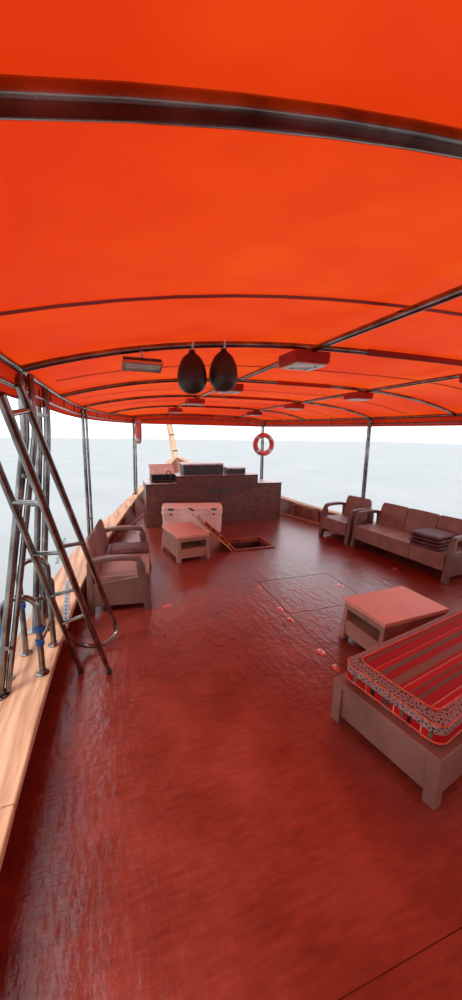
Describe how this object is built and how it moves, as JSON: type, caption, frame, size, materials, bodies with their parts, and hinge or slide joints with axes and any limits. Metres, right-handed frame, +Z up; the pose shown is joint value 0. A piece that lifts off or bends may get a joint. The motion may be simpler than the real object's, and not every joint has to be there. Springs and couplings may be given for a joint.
{
  "type": "dhow boat",
  "caption": "Wooden passenger dhow with a raked stem, open deck with seats under a fabric awning on a steel frame, forward counter, hatches, rudder and propeller.",
  "frame": {"origin": "amidships on the centreline, at the waterline", "axes": "+X to port, +Y to the stern, +Z up"},
  "size_m": [6.0896, 21.8083, 5.1886],
  "materials": {
    "hull_timber": "oiled, weathered",
    "light_timber": "bare, worn",
    "deck_paint": "glossy oxide paint",
    "counter_paint": "satin paint",
    "white_board": "matt",
    "awning_cloth": "coated canvas",
    "stainless": "polished, dull in places",
    "dark_iron": "satin",
    "bronze": "dull",
    "ring_red": "satin",
    "fender_rubber": "scuffed",
    "rattan_plastic": "moulded weave",
    "chest_plastic": "rotomoulded",
    "dark_box": "satin",
    "woven_cloth": "striped weave",
    "seat_vinyl": "coated cloth"
  },
  "bodies": {
    "hull": {"hull": "hull_timber", "stem_post": "light_timber", "keel": "hull_timber", "stern_post": "hull_timber", "deck": "deck_paint", "quarterdeck": "deck_paint", "bulwark_port": "hull_timber", "bulwark_starboard": "hull_timber", "cap_rail_port": "light_timber", "cap_rail_starboard": "light_timber", "transom_board": "hull_timber", "taffrail": "light_timber", "helm_stand": "counter_paint", "counter": "counter_paint", "sink_faucet": "dark_iron", "counter_chest": "dark_box", "counter_box": "dark_box", "hatch_coaming": "light_timber", "awning_canopy": "awning_cloth", "awning_frame": "stainless", "awning_runner_port": "stainless", "awning_runner_starboard": "stainless", "awning_post_port_1": "stainless", "awning_post_port_2": "stainless", "awning_post_port_3": "stainless", "awning_post_port_4": "stainless", "awning_post_port_5": "stainless", "awning_post_starboard_1": "stainless", "awning_post_starboard_2": "stainless", "awning_post_starboard_3": "stainless", "awning_post_starboard_4": "stainless", "awning_post_starboard_5": "stainless", "fender_a": "fender_rubber", "fender_b": "fender_rubber", "flood_lamp": "dark_iron", "lifebuoy_port": "ring_red", "lifebuoy_starboard": "ring_red", "ice_chest": "chest_plastic", "sofa_port": "rattan_plastic", "sofa_port_cushion": "seat_vinyl", "sofa_cushion_pile": "seat_vinyl", "armchair_starboard": "rattan_plastic", "sofa_starboard": "rattan_plastic", "table_fore": "rattan_plastic", "table_aft": "rattan_plastic", "settee_base": "rattan_plastic", "settee_cushion": "woven_cloth", "boarding_ladder": "stainless", "gate_rail": "stainless", "mooring_bitts": "counter_paint"},
    "rudder": {"rudder": "hull_timber"},
    "propeller": {"propeller": "bronze"},
    "helm_wheel": {"helm_wheel": "light_timber"},
    "sink_lid": {"sink_lid": "white_board"},
    "hatch_cover": {"hatch_cover": "deck_paint"},
    "flush_hatch_lid": {"flush_hatch_lid": "deck_paint"},
    "ice_chest_lid": {"ice_chest_lid": "chest_plastic"}
  },
  "joints": [
    {"name": "rudder_swing", "type": "hinge", "parent": "hull", "child": "rudder", "pos_m": [0, 10.15, -0.2], "axis": [0, 0, 1], "range_deg": [-35, 35]},
    {"name": "propeller_spin", "type": "hinge", "parent": "hull", "child": "propeller", "pos_m": [0, 9.985, -0.52], "axis": [0, 1, 0], "continuous": true},
    {"name": "helm_turn", "type": "hinge", "parent": "hull", "child": "helm_wheel", "pos_m": [0, 6.7406, 2.5406], "axis": [0, -1, 0], "range_deg": [-361, 361]},
    {"name": "sink_lid_hinge", "type": "hinge", "parent": "hull", "child": "sink_lid", "pos_m": [1.15, -4.3948, 2.5623], "axis": [1, 0, 0], "range_deg": [0, 85]},
    {"name": "hatch_cover_hinge", "type": "hinge", "parent": "hull", "child": "hatch_cover", "pos_m": [0.287, -2.22, 1.3223], "axis": [0, 1, 0], "range_deg": [-136, 0]},
    {"name": "flush_hatch_hinge", "type": "hinge", "parent": "hull", "child": "flush_hatch_lid", "pos_m": [0.374, -0.2, 1.3], "axis": [0, 1, 0], "range_deg": [0, 100]},
    {"name": "ice_chest_lid_hinge", "type": "hinge", "parent": "hull", "child": "ice_chest_lid", "pos_m": [0.6378, -3.5457, 1.7706], "axis": [0.9796, -0.2011, 0], "range_deg": [0, 95]}
  ],
  "couplings": [
    {"joint": "helm_turn", "follows": "rudder_swing", "ratio": 10.286}
  ]
}
